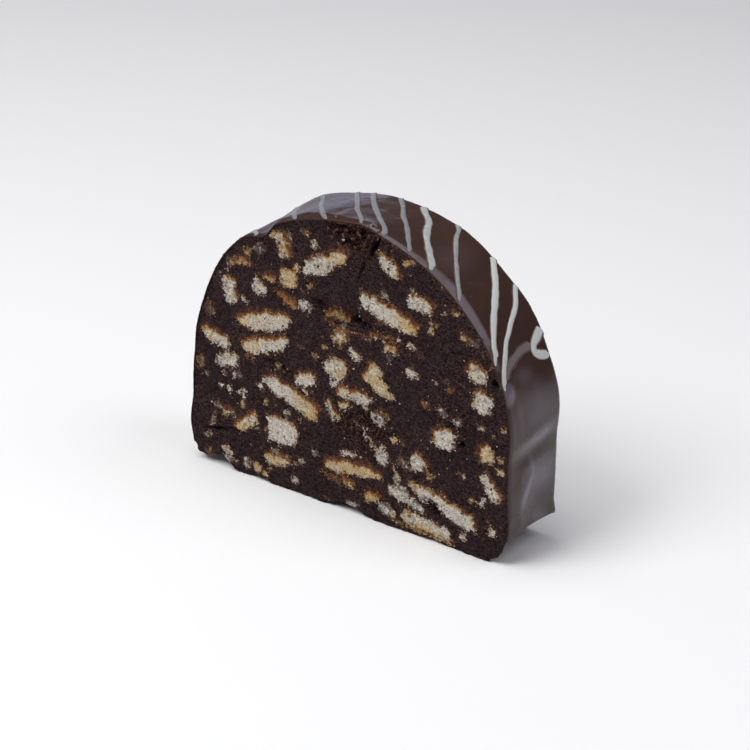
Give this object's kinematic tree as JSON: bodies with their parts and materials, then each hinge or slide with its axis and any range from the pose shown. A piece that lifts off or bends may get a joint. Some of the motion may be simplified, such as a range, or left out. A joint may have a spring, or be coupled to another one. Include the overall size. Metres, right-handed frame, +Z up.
{
  "type": "slice of icebox cake",
  "caption": "Thick slice of a tunnel-shaped icebox cake: broken biscuits set in dark chocolate, a thin chocolate coating over the arch and thin lines of white chocolate across it.",
  "frame": {"origin": "the middle of the base, halfway between the two cut faces, at the height of the plate", "axes": "+X to the right across the front cut, +Y through the slice from the front cut to the back cut, +Z up"},
  "size_m": [0.1017, 0.0218, 0.0801],
  "materials": {
    "chocolate_crumb": "matte, dark chocolate bound with biscuit crumb",
    "dark_coating": "glossy dark chocolate coating with raised white chocolate lines",
    "biscuit_pale": "matte, dry pale biscuit crumb",
    "biscuit_golden": "matte, dry golden biscuit crumb",
    "biscuit_toasted": "matte, dry toasted biscuit"
  },
  "bodies": {
    "root": {"biscuit_back_47": "biscuit_pale", "biscuit_back_48": "biscuit_pale", "biscuit_back_49": "biscuit_pale", "biscuit_back_50": "biscuit_pale", "biscuit_back_51": "biscuit_pale", "biscuit_back_52": "biscuit_golden", "biscuit_back_53": "biscuit_golden", "biscuit_back_54": "biscuit_golden", "biscuit_back_55": "biscuit_pale", "biscuit_back_56": "biscuit_golden", "biscuit_back_57": "biscuit_golden", "biscuit_back_58": "biscuit_golden", "biscuit_front_01": "biscuit_golden", "biscuit_front_02": "biscuit_pale", "biscuit_front_03": "biscuit_toasted", "biscuit_front_04": "biscuit_golden", "biscuit_front_05": "biscuit_pale", "biscuit_front_06": "biscuit_pale", "biscuit_front_07": "biscuit_golden", "biscuit_front_08": "biscuit_toasted", "biscuit_front_09": "biscuit_pale", "biscuit_front_11": "biscuit_pale", "biscuit_front_12": "biscuit_pale", "biscuit_front_13": "biscuit_pale", "biscuit_front_14": "biscuit_pale", "biscuit_front_17": "biscuit_golden", "biscuit_front_18": "biscuit_golden", "biscuit_front_19": "biscuit_golden", "biscuit_front_20": "biscuit_pale", "biscuit_front_22": "biscuit_pale", "biscuit_front_23": "biscuit_pale", "biscuit_front_24": "biscuit_golden", "biscuit_front_25": "biscuit_toasted", "biscuit_front_26": "biscuit_pale", "biscuit_front_27": "biscuit_pale", "biscuit_front_29": "biscuit_pale", "biscuit_front_30": "biscuit_pale", "biscuit_front_31": "biscuit_golden", "biscuit_front_32": "biscuit_pale", "biscuit_front_33": "biscuit_pale", "biscuit_front_35": "biscuit_golden", "biscuit_front_37": "biscuit_golden", "biscuit_front_38": "biscuit_pale", "biscuit_front_39": "biscuit_pale", "biscuit_front_40": "biscuit_pale", "biscuit_front_42": "biscuit_pale", "biscuit_front_43": "biscuit_golden", "biscuit_front_44": "biscuit_pale", "biscuit_front_45": "biscuit_golden", "biscuit_front_46": "biscuit_toasted", "biscuit_through_10": "biscuit_pale", "biscuit_through_15": "biscuit_golden", "biscuit_through_16": "biscuit_pale", "biscuit_through_21": "biscuit_golden", "biscuit_through_28": "biscuit_pale", "biscuit_through_34": "biscuit_golden", "biscuit_through_36": "biscuit_pale", "biscuit_through_41": "biscuit_pale", "cake_body": "chocolate_crumb", "coating": "dark_coating"}
  },
  "joints": []
}
